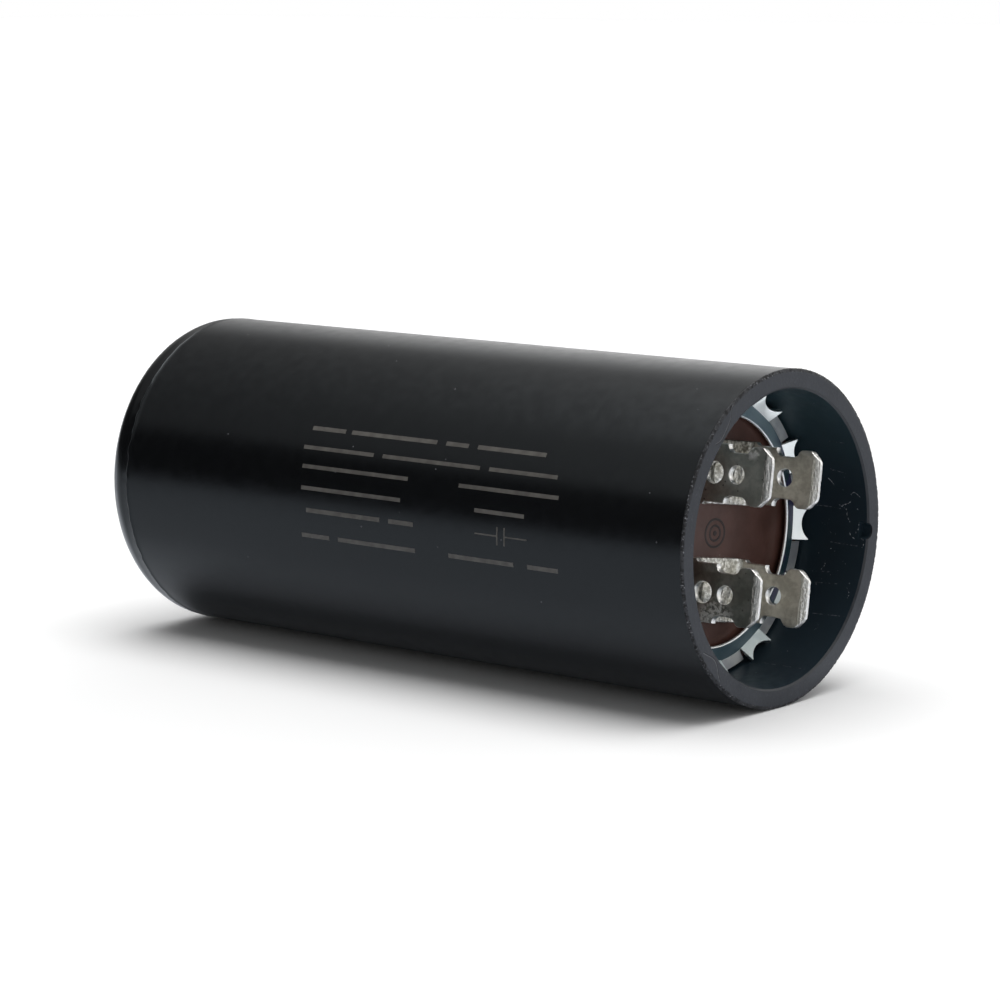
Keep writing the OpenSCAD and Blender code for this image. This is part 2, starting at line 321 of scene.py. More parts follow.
# Parts of the light in the same form, with edges as shares of each way; DIM and DARK take light away
SOFTBOX = (2.85, {"lean": [(0.6, 0.36), (-0.55, -0.3)], "right": [(-0.6, -0.4), (0.6, 0.35)]})
LOW_BACK = (0.48, {"rise": [(0.64, 0.34)], "back": [(0.3, 0.6)]})
SIDE_BACK = (0.35, {"right": [(-0.45, 0.1)], "back": [(-0.25, 0.1)]})
CARD = (0.85, {"right": [(0.1, 0.45)], "back": [(0.1, -0.25)], "rise": [(0.42, 0.25)]})
DIM = (0.55, {"back": [(0.1, -0.25)], "right": [(-0.5, -0.25)]})
DARK = (0.84, {"left": [(0.15, 0.5)], "rise": [(0.46, 0.34)]})
DARK_TURN = math.radians(-128)
TENT_SPAN = (-0.72, -0.58)
TENT_LEVELS = (0.17, 0.45)
LEFT_SPAN = (-0.73, -0.66)
LEFT_LEVELS = (0.3, 1.0)
LEAST_RISE = 0.02
SOFTBOX_RISE = 0.1

# A ring of the case: zone is its finish up to the next ring, and chip, wave and nick say what changes it
Ring = namedtuple("Ring", "radius height zone chip wave nick", defaults=(0.0, False, False))


def set_socket(socket, value):
    """Links a socket, or sets its value. A colour is given without its alpha."""
    if isinstance(value, bpy.types.NodeSocket):
        socket.id_data.links.new(value, socket)
    elif socket.type == "RGBA":
        socket.default_value = (*value, 1.0)
    else:
        socket.default_value = value


def add_node(tree, kind, inputs=None, **settings):
    """Adds a shader node with its settings and inputs."""
    made = tree.nodes.new("ShaderNode" + kind)
    for name, value in settings.items():
        setattr(made, name, value)
    for name, value in (inputs or {}).items():
        set_socket(made.inputs[name], value)
    return made


# Each function from here to patch_of adds nodes to the tree of the first socket that it is given
def math_of(operation, first, second):
    return add_node(first.id_data, "Math", {0: first, 1: second}, operation=operation).outputs[0]


def chain_of(operation, values):
    result = values[0]
    for value in values[1:]:
        result = math_of(operation, result, value)
    return result


def product_of(*values):
    return chain_of("MULTIPLY", values)


def sum_of(*values):
    return chain_of("ADD", values)


def rest_of(share):
    """What is left of 1."""
    return sum_of(product_of(share, -1.0), 1.0)


def vectors_of(operation, first, second, result="Value"):
    inputs = {0: first, 1: second}
    return add_node(first.id_data, "VectorMath", inputs, operation=operation).outputs[result]


def dot_of(first, second):
    return vectors_of("DOT_PRODUCT", first, second)


def stretched(place, factors):
    return vectors_of("MULTIPLY", place, factors, "Vector")


def axis_of(place, axis):
    return add_node(place.id_data, "SeparateXYZ", {0: place}).outputs[axis]


def noise_of(place, scale, detail):
    inputs = {"Vector": place, "Scale": scale, "Detail": detail}
    return add_node(place.id_data, "TexNoise", inputs).outputs["Fac"]


def spread_of(value, span, levels=(0.0, 1.0)):
    """Maps a span of a value smoothly onto two levels."""
    inputs = {"Value": value, "From Min": span[0], "From Max": span[1]}
    inputs.update({"To Min": levels[0], "To Max": levels[1]})
    return add_node(value.id_data, "MapRange", inputs, interpolation_type="SMOOTHSTEP").outputs[0]


def cloud_of(place, scale, detail):
    """Soft clouds between 0 and 1."""
    return spread_of(noise_of(place, scale, detail), CLOUD_SPAN)


def grained(grain, low, high):
    """A value between low and high that follows a grain."""
    return spread_of(grain, GRAIN_SPAN, (low, high))


def mix_of(share, first, second):
    inputs = {0: share, 6: first, 7: second}
    return add_node(share.id_data, "Mix", inputs, data_type="RGBA").outputs[2]


def bump_of(height, distance):
    return add_node(height.id_data, "Bump", {"Height": height, "Distance": distance}).outputs[0]


def specks_of(place, cells, size, share):
    """1 on small dots: one in each cell of a grid, on the given share of the cells."""
    made = add_node(place.id_data, "TexVoronoi", {"Vector": place, "Scale": cells})
    near = spread_of(made.outputs["Distance"], (size, size / 2))
    red = add_node(place.id_data, "SeparateColor", {0: made.outputs["Color"]}).outputs[0]
    return product_of(near, math_of("LESS_THAN", red, share))


def patch_of(ways, level, spans):
    """The level where each way is past its spans, which are soft edges, and 0 elsewhere."""
    edges = [spread_of(ways[way], span) for way, some in spans.items() for span in some]
    return product_of(*edges, level)


def camera_sees(tree):
    return add_node(tree, "LightPath").outputs["Is Camera Ray"]


def object_place(tree):
    return add_node(tree, "TexCoord").outputs["Object"]


def new_look(name):
    """Starts a material, and gives its object coordinates too."""
    made = bpy.data.materials.new(name)
    made.use_nodes = True
    return made, object_place(made.node_tree)


def dressed(made, **inputs):
    """The same material, with the inputs of its shader set."""
    shader = made.node_tree.nodes["Principled BSDF"]
    for name, value in inputs.items():
        set_socket(shader.inputs[name.replace("_", " ")], value)
    return made


def case_outside():
    """Black moulded phenolic of the outside, with a little unevenness, haze and dust."""
    made, place = new_look("case_outside")
    dust = specks_of(place, 400.0, 0.04, 0.4)
    return dressed(
        made,
        Base_Color=mix_of(dust, (0.0026, 0.0028, 0.0034), (0.16, 0.16, 0.17)),
        Specular_Tint=(0.86, 0.95, 1.0),
        Roughness=grained(noise_of(place, 700.0, 4.0), 0.17, 0.23),
        Normal=bump_of(noise_of(place, 160.0, 2.0), 0.03 * MM),
    )


def case_inside():
    """Inside of the mouth: smooth, with painted light that makes it paler at its top, and a faint unevenness
    along the axis.
    """
    made, place = new_look("case_inside")
    drawn = noise_of(stretched(place, (260.0, 260.0, 9.0)), 1.0, 2.0)
    specks = specks_of(place, 420.0, 0.05, 0.08)
    # Painted light: a paler colour of the wall towards its top
    painted_top_light = spread_of(axis_of(place, "Y"), WALL_PAINTED_LIGHT)
    wall = mix_of(painted_top_light, WALL_COLOUR, (0.021, 0.041, 0.05))
    return dressed(
        made,
        Base_Color=mix_of(specks, wall, (0.14, 0.15, 0.17)),
        Specular_IOR_Level=0.35,
        Specular_Tint=(0.8, 0.95, 1.0),
        Roughness=grained(noise_of(place, 900.0, 3.0), 0.36, 0.44),
        Normal=bump_of(drawn, 0.004 * MM),
    )


def case_rim():
    """Trimmed end face of the case, duller than the moulded skin."""
    made, place = new_look("case_rim")
    grain = noise_of(place, 2500.0, 5.0)
    cloud = cloud_of(place, 260.0, 3.0)
    dark = mix_of(cloud, (0.0155, 0.0165, 0.021), (0.0225, 0.0235, 0.029))
    return dressed(
        made,
        Base_Color=mix_of(spread_of(grain, (0.55, 0.8)), dark, (0.045, 0.047, 0.055)),
        Specular_Tint=(0.9, 0.95, 1.0),
        Roughness=grained(grain, 0.38, 0.5),
        Normal=bump_of(grain, 0.02 * MM),
    )


def case_chips():
    """Crumbled outer edge of the rim, dark with pale fractures."""
    made, place = new_look("case_chips")
    grain = noise_of(place, 5200.0, 3.0)
    patch = noise_of(place, 900.0, 2.0)
    pale = product_of(spread_of(grain, (0.6, 0.68)), spread_of(patch, (0.42, 0.58)))
    broken = spread_of(noise_of(place, 2600.0, 2.0), (0.4, 0.55))
    dark = mix_of(broken, (0.004, 0.0042, 0.005), (0.03, 0.031, 0.035))
    return dressed(
        made,
        Base_Color=mix_of(pale, dark, (0.3, 0.3, 0.32)),
        Specular_IOR_Level=0.3,
        Roughness=0.5,
        Normal=bump_of(grain, 0.08 * MM),
    )


def case_lip():
    """Sharp inner edge of the rim, polished by the moulding core."""
    made, place = new_look("case_lip")
    grain = noise_of(place, 1500.0, 3.0)
    return dressed(
        made,
        Base_Color=mix_of(grain, (0.008, 0.0105, 0.014), (0.03, 0.033, 0.039)),
        Specular_IOR_Level=0.4,
        Roughness=grained(grain, 0.3, 0.45),
        Normal=bump_of(grain, 0.01 * MM),
    )


def header_board():
    """Dark brown laminate of the header."""
    made, place = new_look("header_board")
    cloud = grained(noise_of(place, 300.0, 4.0), 0.0, 1.0)
    specks = specks_of(place, 600.0, 0.06, 0.08)
    brown = mix_of(cloud, (0.06, 0.026, 0.019), (0.086, 0.04, 0.031))
    return dressed(
        made,
        Base_Color=mix_of(specks, brown, (0.2, 0.15, 0.13)),
        Specular_Tint=(1.0, 0.86, 0.8),
        Roughness=grained(noise_of(place, 1800.0, 3.0), 0.3, 0.42),
        Normal=bump_of(noise_of(place, 1500.0, 4.0), 0.012 * MM),
    )


def zinc_band():
    """Blue zinc of the ring's band, which turns from teal to violet at its far side, with painted light that
    makes it paler at its top.
    """
    made, place = new_look("zinc_band")
    fine = noise_of(place, 3000.0, 4.0)
    cloud = cloud_of(place, 300.0, 3.0)
    teal = mix_of(cloud, (0.075, 0.125, 0.15), (0.11, 0.165, 0.195))
    # Painted light: the paler colour that the band takes towards its top
    pale = mix_of(cloud, (0.2, 0.285, 0.325), (0.26, 0.345, 0.39))
    violet = spread_of(noise_of(place, 420.0, 2.0), (0.5, 0.62))
    navy = mix_of(violet, (0.02, 0.055, 0.07), (0.045, 0.045, 0.11))
    teal = mix_of(spread_of(axis_of(place, "Y"), BAND_PAINTED_LIGHT), teal, pale)
    tint = mix_of(spread_of(axis_of(place, "X"), BAND_NAVY), teal, navy)
    pits = specks_of(place, 500.0, 0.05, 0.1)
    return dressed(
        made,
        Base_Color=mix_of(pits, tint, (0.03, 0.035, 0.04)),
        Metallic=0.25,
        Specular_IOR_Level=0.4,
        Roughness=grained(fine, 0.4, 0.48),
        Normal=bump_of(fine, 0.004 * MM),
    )


def zinc_tooth():
    """Bright zinc of the teeth, rougher on the side that lies low, where a darker colour is painted shade.
    """
    made, place = new_look("zinc_tooth")
    fine = noise_of(place, 3000.0, 4.0)
    cloud = cloud_of(place, 500.0, 4.0)
    bright = mix_of(cloud, (0.93, 0.97, 0.94), (0.98, 1.0, 0.97))
    # Painted shade: the darker colour of the teeth on the side that lies low
    painted_shade_colour = mix_of(cloud, (0.74, 0.81, 0.81), (0.85, 0.91, 0.9))
    low = spread_of(axis_of(place, "Y"), TOOTH_PAINTED_SHADE)
    rough = spread_of(low, (0.0, 1.0), (0.3, 0.72))
    return dressed(
        made,
        Base_Color=mix_of(low, bright, painted_shade_colour),
        Metallic=1.0,
        Roughness=sum_of(rough, product_of(fine, 0.06)),
        Normal=bump_of(fine, 0.006 * MM),
    )


def tin_face(name, dark, light, patch):
    """Tinned face of a terminal, with a few pits. A worn patch, as (middle, reach), is rough and bright."""
    made, place = new_look(name)
    fine = noise_of(place, 4000.0, 4.0)
    middle, reach = patch
    away = vectors_of("DISTANCE", place, middle)
    broken = noise_of(place, 2600.0, 4.0)
    near = spread_of(away, (reach, reach * WORN_CORE))
    worn = product_of(near, spread_of(broken, (0.42, 0.56)))
    pits = specks_of(place, 1300.0, 0.17, 0.4)
    grain = grained(noise_of(place, 2200.0, 3.0), -0.25, 0.25)
    plain = mix_of(sum_of(cloud_of(place, 600.0, 4.0), grain), dark, light)
    marked = mix_of(pits, plain, (0.24, 0.23, 0.2))
    height = sum_of(product_of(fine, 0.15), worn)
    return dressed(
        made,
        Base_Color=mix_of(worn, marked, (0.9, 0.88, 0.83)),
        Metallic=spread_of(worn, (0.0, 1.0), (1.0, 0.55)),
        Roughness=grained(fine, 0.4, 0.52),
        Normal=bump_of(height, 0.07 * MM),
    )


def tin_rough():
    """Rough bright metal of a terminal's foot, darkened by a painted shadow of the case's wall on the upper
    side of the first terminal.
    """
    made, place = new_look("tin_rough")
    cloud = cloud_of(place, 2600.0, 4.0)
    fine = noise_of(place, 2300.0, 4.0)
    bright = mix_of(cloud, (0.5, 0.49, 0.44), (1.0, 0.99, 0.94))
    # Painted shadow of the case's wall: the darker colour of the foot on the upper side of the first
    # terminal
    painted_shade_colour = mix_of(cloud, (0.12, 0.115, 0.1), (0.42, 0.41, 0.37))
    far = spread_of(axis_of(place, "Y"), FOOT_PAINTED_SHADOW)
    return dressed(
        made,
        Base_Color=mix_of(far, bright, painted_shade_colour),
        Metallic=1.0,
        Roughness=grained(fine, 0.3, 0.42),
        Normal=bump_of(fine, 0.16 * MM),
    )


def tin_strip(name, dark, light):
    """Thinned end of a tab, streaked along its edge and brighter towards it."""
    made, place = new_look(name)
    streak = noise_of(stretched(place, (500.0, 500.0, 4000.0)), 1.0, 3.0)
    grain = noise_of(place, 3600.0, 3.0)
    near = spread_of(axis_of(place, "Z"), TIP_BRIGHT)
    bright = spread_of(sum_of(near, streak), (0.55, 1.15))
    return dressed(
        made,
        Base_Color=mix_of(bright, dark, light),
        Metallic=1.0,
        Roughness=0.45,
        Normal=bump_of(sum_of(streak, grain), 0.14 * MM),
    )


def clouded_metal(name, dark, light, scale, roughness, grain, depth, pits=0.0):
    """Metal of a clouded colour, with a grain that also varies its roughness, and a share of dark pits."""
    made, place = new_look(name)
    fine = noise_of(place, grain, 4.0)
    clouded = mix_of(cloud_of(place, scale, 4.0), dark, light)
    return dressed(
        made,
        Base_Color=mix_of(specks_of(place, 480.0, 0.1, pits), clouded, (0.05, 0.05, 0.06)),
        Metallic=1.0,
        Roughness=grained(fine, roughness - 0.06, roughness + 0.06),
        Normal=bump_of(fine, depth * MM),
    )


def plain_finish(name, dark, light, scale, roughness, metallic=0.0):
    """A clouded finish of one roughness, for marks and for the pieces that are closed in."""
    made, place = new_look(name)
    cloud = noise_of(place, scale, 4.0)
    return dressed(
        made,
        Base_Color=mix_of(grained(cloud, 0.0, 1.0), dark, light),
        Metallic=metallic,
        Roughness=roughness,
        Normal=bump_of(cloud, 0.01 * MM),
    )


def scuff(name, light, scale):
    """A broken scuff on the wall: bits of a lighter colour on that of the wall."""
    made, place = new_look(name)
    bits = noise_of(place, scale, 3.0)
    return dressed(
        made,
        Base_Color=mix_of(spread_of(bits, (0.45, 0.62)), WALL_COLOUR, light),
        Specular_IOR_Level=0.35,
        Roughness=0.5,
        Normal=bump_of(bits, 0.01 * MM),
    )


def add_object(name, data):
    made = bpy.data.objects.new(name, data)
    bpy.context.scene.collection.objects.link(made)
    return made


def new_piece(name, mesh, slot, *materials):
    """Adds an object that rides with the part, with the given finishes. The slot is not used."""
    piece = add_object(name, mesh)
    for each in materials:
        mesh.materials.append(each)
    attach(piece, "root")
    return piece


def mesh_from(name, points, faces):
    mesh = bpy.data.meshes.new(name)
    mesh.from_pydata(points, [], faces)
    mesh.update()
    return mesh


def mesh_of(made, name):
    mesh = bpy.data.meshes.new(name)
    made.to_mesh(mesh)
    made.free()
    return mesh


def merge(made, near):
    bmesh.ops.remove_doubles(made, verts=made.verts, dist=near)


def shade(mesh, angle):
    """Smooth shading, with edges sharper than the angle kept sharp."""
    mesh.polygons.foreach_set("use_smooth", [True] * len(mesh.polygons))
    mesh.set_sharp_from_angle(angle=math.radians(angle))


def round_point(spot, turn):
    """A spot of a profile, as (radius, height), turned round the axis."""
    radius, height = spot
    return (radius * math.cos(turn), radius * math.sin(turn), height)


def lathe(made, profile, kinds, segments, point_of=round_point):
    """Adds a turned profile, closed if each of its spots has a kind, which is the finish up to the next."""
    turns = [2 * math.pi * i / segments for i in range(segments)]
    rings = []
    for spot in profile:
        rings.append([made.verts.new(point_of(spot, turn)) for turn in turns])
    for row, kind in enumerate(kinds):
        low = rings[row]
        high = rings[(row + 1) % len(rings)]
        for i in range(segments):
            j = (i + 1) % segments
            made.faces.new((low[i], low[j], high[j], high[i])).material_index = kind


def round_noise(turn, grain, seed):
    """Noise round the side of the case, so that it closes on itself."""
    return noise.noise(Vector(round_point((SIDE_R * grain, seed), turn)))


def case_rings():
    """Outline of the case, from the middle of its closed end to that of the chamber's floor."""
    rings = [Ring(r * MM, 0.0, OUTSIDE) for r in END_RINGS]
    start = SIDE_R - END_ROUND
    for i in range(END_STEPS):
        turn = math.pi / 2 * i / END_STEPS
        rings.append(Ring(start + END_ROUND * math.sin(turn), END_ROUND * (1 - math.cos(turn)), OUTSIDE))
    for zone, (out, up) in zip((SEAM, OUTSIDE, OUTSIDE), PARTING_STEPS):
        rings.append(Ring(SIDE_R + out * MM, PARTING_Z + up * MM, zone, wave=True))
    rings.append(Ring(SIDE_R, PARTING_Z + PARTING_END, OUTSIDE))
    rings += [Ring(SIDE_R, z * MM, OUTSIDE) for z in SIDE_RINGS]
    burr = CASE_TOP - RIM_BURR
    rings += [Ring(SIDE_R, burr - BURR_START, OUTSIDE), Ring(SIDE_R, burr - BURR_FOOT, CHIPS)]
    for inwards, down, chip in WORN_STEPS:
        rings.append(Ring(CASE_R - RIM_WORN * inwards, CASE_TOP - RIM_BURR * down, CHIPS, chip))
    rings += [
        Ring(CASE_R - RIM_WORN, CASE_TOP, RIM, chip=1.0),
        Ring(CASE_R - RIM_WORN - CHIP_REACH, CASE_TOP, RIM),
        Ring(MOUTH_R + NICK_REACH, CASE_TOP, RIM, nick=True),
        Ring(MOUTH_R + RIM_BEVEL + RIM_LINE, CASE_TOP, LIP, nick=True),
        Ring(MOUTH_R + RIM_BEVEL, CASE_TOP, LIP, nick=True),
        Ring(MOUTH_R, CASE_TOP - RIM_BEVEL, INSIDE, nick=True),
        Ring(MOUTH_R, CASE_TOP - NICK_DEPTH, INSIDE, nick=True),
        Ring(MOUTH_R, CASE_TOP - NICK_DEPTH, INSIDE),
    ]
    rings += [Ring(MOUTH_R, z * MM, INSIDE) for z in MOUTH_RINGS]
    rings += [Ring(MOUTH_R, LEDGE_Z, INSIDE), Ring(CHAMBER_R, LEDGE_Z, INSIDE)]
    rings += [Ring(CHAMBER_R, CHAMBER_RING * MM, INSIDE), Ring(CHAMBER_R, FLOOR_T, INSIDE)]
    rings.append(Ring(0.0, FLOOR_T, INSIDE))
    return rings


def in_nick(radius, turn):
    """Radius of the bore where the nick widens it."""
    offset = math.atan2(math.sin(turn - NICK_TURN), math.cos(turn - NICK_TURN)) * MOUTH_R
    if abs(offset) >= NICK_R:
        return radius
    return max(radius, MOUTH_R + math.sqrt(NICK_R ** 2 - offset ** 2))


def case_point(numbered, turn):
    """A point of a ring of the case, which is given with its number."""
    row, ring = numbered
    radius = ring.radius
    height = ring.height
    if ring.wave:
        height += PARTING_WAVE * round_noise(turn, PARTING_GRAIN, PARTING_SEED)
    if ring.chip:
        shift = CHIP_SEED_STEP * row
        bite = sum(weight * round_noise(turn, grain, seed + shift) for grain, weight, seed in CHIP_LAYERS)
        bite = max(0.0, bite + CHIP_SHIFT) * ring.chip * CHIP_DEPTH
        radius -= bite
        if height < CASE_TOP:
            height -= bite * CHIP_DROP
    if ring.nick:
        radius = in_nick(radius, turn)
    return round_point((radius, height), turn)


def case_shell():
    made = bmesh.new()
    rings = case_rings()
    zones = [ring.zone for ring in rings[:-1]]
    lathe(made, list(enumerate(rings)), zones, CASE_SEGMENTS, case_point)
    merge(made, MERGE_NEAR)
    mesh = mesh_of(made, "case_shell")
    shade(mesh, SHARP_TURN)
    seam = plain_finish("case_seam", (0.008, 0.0095, 0.011), (0.05, 0.056, 0.06), 1400.0, 0.35)
    finishes = [case_outside(), case_rim(), case_inside(), case_chips(), case_lip(), seam]
    piece = new_piece("case_shell", mesh, "case_phenolic", *finishes)
    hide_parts("case")


def on_case(turn, height, radius):
    """A point on a cylinder round the axis, from its turn in degrees and its height in millimetres."""
    return Vector(round_point((radius, height * MM), math.radians(turn)))


def outwards_of(spot):
    return Vector((spot.x, spot.y, 0)).normalized()


def add_strip(strips, spots, across_of, width, kind):
    """Adds a flat strip along spots to lists of points, faces and kinds of face."""
    points, faces, kinds = strips
    base = len(points)
    for spot in spots:
        offset = across_of(spot) * width / 2
        points += [spot - offset, spot + offset]
    for i in range(len(spots) - 1):
        low = base + 2 * i
        faces.append((low, low + 1, low + 3, low + 2))
        kinds.append(kind)


def strip_piece(name, strips, *finishes):
    """Makes one piece of all strips, with a finish for each kind of face."""
    points, faces, kinds = strips
    mesh = mesh_from(name, points, faces)
    new_piece(name, mesh, "case_phenolic", *finishes)
    mesh.polygons.foreach_set("material_index", kinds)


def print_bars():
    """Thin bars and a plain two-plate sign that lie on the case, in one piece."""
    strips = ([], [], [])
    radius = SIDE_R + SURFACE_LIFT
    for turn, height, bars in PRINT_ROWS + SIGN_ROWS:
        half = math.degrees(height * MM / 2 / radius)
        turns = [turn + half - 2 * half * i / PRINT_STEPS for i in range(PRINT_STEPS + 1)]
        for start, length in bars:
            spots = [on_case(each, start + length / 2, radius) for each in turns]
            add_strip(strips, spots, lambda spot: AXIS, length * MM, 0)
    ink = plain_finish("print_ink", (0.084, 0.079, 0.071), (0.126, 0.119, 0.107), 900.0, 0.45)
    strip_piece("case_print", strips, ink)


def add_scuff(strips, path, width, kind):
    """Adds a strip on the wall of the mouth, along a path of (turn, height)."""
    spots = [on_case(turn, height, MOUTH_R - SURFACE_LIFT) for turn, height in path]
    way = (spots[-1] - spots[0]).normalized()
    across = outwards_of(spots[0]).cross(way).normalized()
    add_strip(strips, spots, lambda spot: across, width * MM, kind)


def wall_scuffs():
    """Pale scratches, lines and specks of lint on the wall of the mouth."""
    chance = random.Random(SPECK_SEED)
    strips = ([], [], [])
    for path in SCRATCHES:
        add_scuff(strips, smooth_path(path), SCRATCH_W, LINT)
    for path in LONG_LINES:
        add_scuff(strips, smooth_path(path), LONG_LINE_W, HAZE)
    for i in range(SPECK_COUNT):
        turn = chance.uniform(*SPECK_TURNS[i % 2])
        height = chance.uniform(*SPECK_HEIGHTS)
        run = chance.uniform(*SPECK_RUNS)
        lean = chance.uniform(0, 2 * math.pi)
        side = math.degrees(run * math.cos(lean) * MM / (MOUTH_R - SURFACE_LIFT))
        path = [(turn, height), (turn + side, height + run * math.sin(lean))]
        add_scuff(strips, path, chance.uniform(*SPECK_WIDTHS), (LINT, HAZE)[i % 2])
    lint = scuff("lint", (0.5, 0.52, 0.55), 4200.0)
    haze = scuff("haze", (0.14, 0.15, 0.17), 2600.0)
    strip_piece("wall_scuffs", strips, lint, haze)


def rim_creases():
    """Trim marks on the rim as flat strips: each crease is painted shade, with a painted highlight for its
    lip.
    """
    strips = ([], [], [])
    for path in CREASES:
        for kind, (shift, lift, width) in enumerate(CREASE_LINES):
            height = CASE_TOP / MM + lift
            spots = [on_case(turn, height, (radius + shift) * MM) for turn, radius in smooth_path(path)]
            add_strip(strips, spots, outwards_of, width * MM, kind)
    painted_crease_shade = plain_finish("painted_crease_shade", (0.004, 0.004, 0.005), (0.01, 0.01, 0.012), 2500.0, 0.6)
    lip = plain_finish("painted_lip_highlight", (0.06, 0.061, 0.068), (0.11, 0.112, 0.12), 2500.0, 0.5)
    strip_piece("rim_creases", strips, painted_crease_shade, lip)


def smooth_path(corners, first_cut=SMOOTH_CUT):
    """More points along a line through corners, rounded at the corners from first_cut of each side."""
    path = list(corners)
    for share in (first_cut, SMOOTH_CUT, SMOOTH_CUT):
        cut = [path[0]]
        for first, second in zip(path, path[1:]):
            for part in (share, 1 - share):
                cut.append(tuple(a + (b - a) * part for a, b in zip(first, second)))
        path = cut + [path[-1]]
    return path


def arc(centre_x, centre_y, radius, start, end, steps):
    """Points round a centre, from one angle to another, in degrees."""
    points = []
    for i in range(steps + 1):
        turn = math.radians(start + (end - start) * i / steps)
        points.append((centre_x + radius * math.cos(turn), centre_y + radius * math.sin(turn)))
    return points


def hole(centre_x, radius):
    """Outline of a hole on the middle line of a terminal."""
    return arc(centre_x, 0.0, radius, 0, 360 - 360 / HOLE_SIDES, HOLE_SIDES - 1)


def sheared(points, seed):
    """The same closed outline with many points, moved inwards a little as on a sheared edge."""
    rough = []
    for i, first in enumerate(points):
        start = Vector(first)
        way = Vector(points[(i + 1) % len(points)]) - start
        count = max(1, round(way.length / SHEAR_STEP))
        inwards = Vector((way.y, -way.x)).normalized()
        for step in range(count):
            spot = start + way * step / count
            bite = max(0.0, noise.noise(Vector((spot.x * SHEAR_GRAIN, spot.y * SHEAR_GRAIN, seed))))
            rough.append(spot + inwards * bite * SHEAR_DEPTH)
    return rough


def plate(name, outlines, thickness, edge):
    """A flat plate with rounded edges, from its outline and its holes, standing on the plane z = 0."""
    data = bpy.data.curves.new(name, "CURVE")
    data.dimensions = "2D"
    data.fill_mode = "BOTH"
    data.extrude = thickness / 2 - edge
    data.bevel_depth = edge
    data.bevel_resolution = 2
    data.offset = -edge
    for points in outlines:
        spline = data.splines.new("POLY")
        spline.points.add(len(points) - 1)
        for spot, point in zip(spline.points, points):
            spot.co = (point[0], point[1], 0.0, 1.0)
        spline.use_cyclic_u = True
    shape = add_object(name, data)
    seen = shape.evaluated_get(bpy.context.evaluated_depsgraph_get())
    mesh = bpy.data.meshes.new_from_object(seen)
    bpy.data.objects.remove(shape)
    bpy.data.curves.remove(data)
    made = bmesh.new()
    made.from_mesh(mesh)
    bpy.data.meshes.remove(mesh)
    merge(made, JOIN_NEAR)
    bmesh.ops.recalc_face_normals(made, faces=made.faces)
    bmesh.ops.translate(made, verts=made.verts, vec=(0, 0, thickness / 2))
    return made


def cut_across(made, places):
    """Adds edges across a plate at places along X, where it will bend."""
    for x in places:
        everything = made.verts[:] + made.edges[:] + made.faces[:]
        bmesh.ops.bisect_plane(made, geom=everything, dist=CUT_NEAR, plane_co=(x, 0, 0), plane_no=(1, 0, 0))


def fold(made, kind_of, bend):
    """Gives the faces of a flat plate their finishes, then folds it."""
    made.normal_update()
    for face in made.faces:
        face.material_index = kind_of(face)
    for vert in made.verts:
        vert.co = bend(vert.co)


def crease_edges(made, angle):
    """Smooth faces, with sharp edges between materials and at bends sharper than the angle."""
    made.normal_update()
    for face in made.faces:
        face.smooth = True
    for edge in made.edges:
        pair = edge.link_faces
        if len(pair) == 2:
            same = pair[0].material_index == pair[1].material_index
            edge.smooth = same and edge.calc_face_angle(0.0) < math.radians(angle)


def flat_place(height):
    """Place along the flat terminal strip of a height on a tab."""
    return FLAT_HALF + BEND_LEN + height - OUTER_BEND


def tab_quarter():
    """Outline of a quarter of the flat terminal strip, from its middle to the end of a tab."""
    half = TAB_W / 2
    foot = FOOT_W / 2
    neck = half - NOTCH_DEPTH
    low = flat_place(TAB_H - NOTCH_START - NOTCH_LEN)
    high = flat_place(TAB_H - NOTCH_START)
    tip = flat_place(TAB_H)
    sweep = math.degrees(math.asin(CURVE_LEN / 2 / HEAD_R))
    corners = [(0.0, foot), (flat_place(FOOT_RISE), foot)]
    corners += [(flat_place(FOOT_RISE + foot - half), half), (low, half)]
    corners += arc(low + NOTCH_R, neck + NOTCH_R, NOTCH_R, 180, 270, CURVE_STEPS)
    corners += arc(high - CURVE_LEN, neck + HEAD_R, HEAD_R, 270, 270 + sweep, CURVE_STEPS)
    corners += arc(high, half - HEAD_R, HEAD_R, 90 + sweep, 90, CURVE_STEPS)[1:]
    head = [(high, half), (tip - CORNER_H, half), (tip, half - CORNER_W), (tip, 0.0)]
    corners += smooth_path(head, CORNER_CUT)[1:-1]
    return corners


def terminal_outlines(seed):
    quarter = tab_quarter()
    back = quarter[::-1]
    outline = quarter + [(x, -y) for x, y in back[:-1]]
    outline += [(-x, -y) for x, y in quarter] + [(-x, y) for x, y in back[:-1]]
    holes = [hole(0.0, RIVET_HOLE_R)]
    for side in (-1, 1):
        holes.append(hole(side * flat_place(TAB_H - HOLE_PLACE), HOLE_R))
        holes.append(hole(side * flat_place(TAB_H - LARGE_HOLE_PLACE), LARGE_HOLE_R))
    return [sheared(outline, seed)] + holes


def terminal_bend(spot):
    """Moves a point of the flat strip, as (along, across, through), to the folded terminal."""
    side = math.copysign(1.0, spot.x)
    along = abs(spot.x)
    past = (along - flat_place(TAB_H) + EDGE_LEN) / EDGE_LEN
    share = 1 - max(0.0, past) * (1 - EDGE_T / TAB_T)
    through = TAB_T / 2 + (spot.z - TAB_T / 2) * share
    radius = OUTER_BEND - through
    if along <= FLAT_HALF:
        return Vector((spot.x, spot.y, through))
    if along <= FLAT_HALF + BEND_LEN:
        turn = (along - FLAT_HALF) / BEND_LEN * math.pi / 2
        out = FLAT_HALF + radius * math.sin(turn)
        return Vector((side * out, spot.y, OUTER_BEND - radius * math.cos(turn)))
    rise = along - FLAT_HALF - BEND_LEN
    return Vector((side * (FLAT_HALF + radius), spot.y, OUTER_BEND + rise))


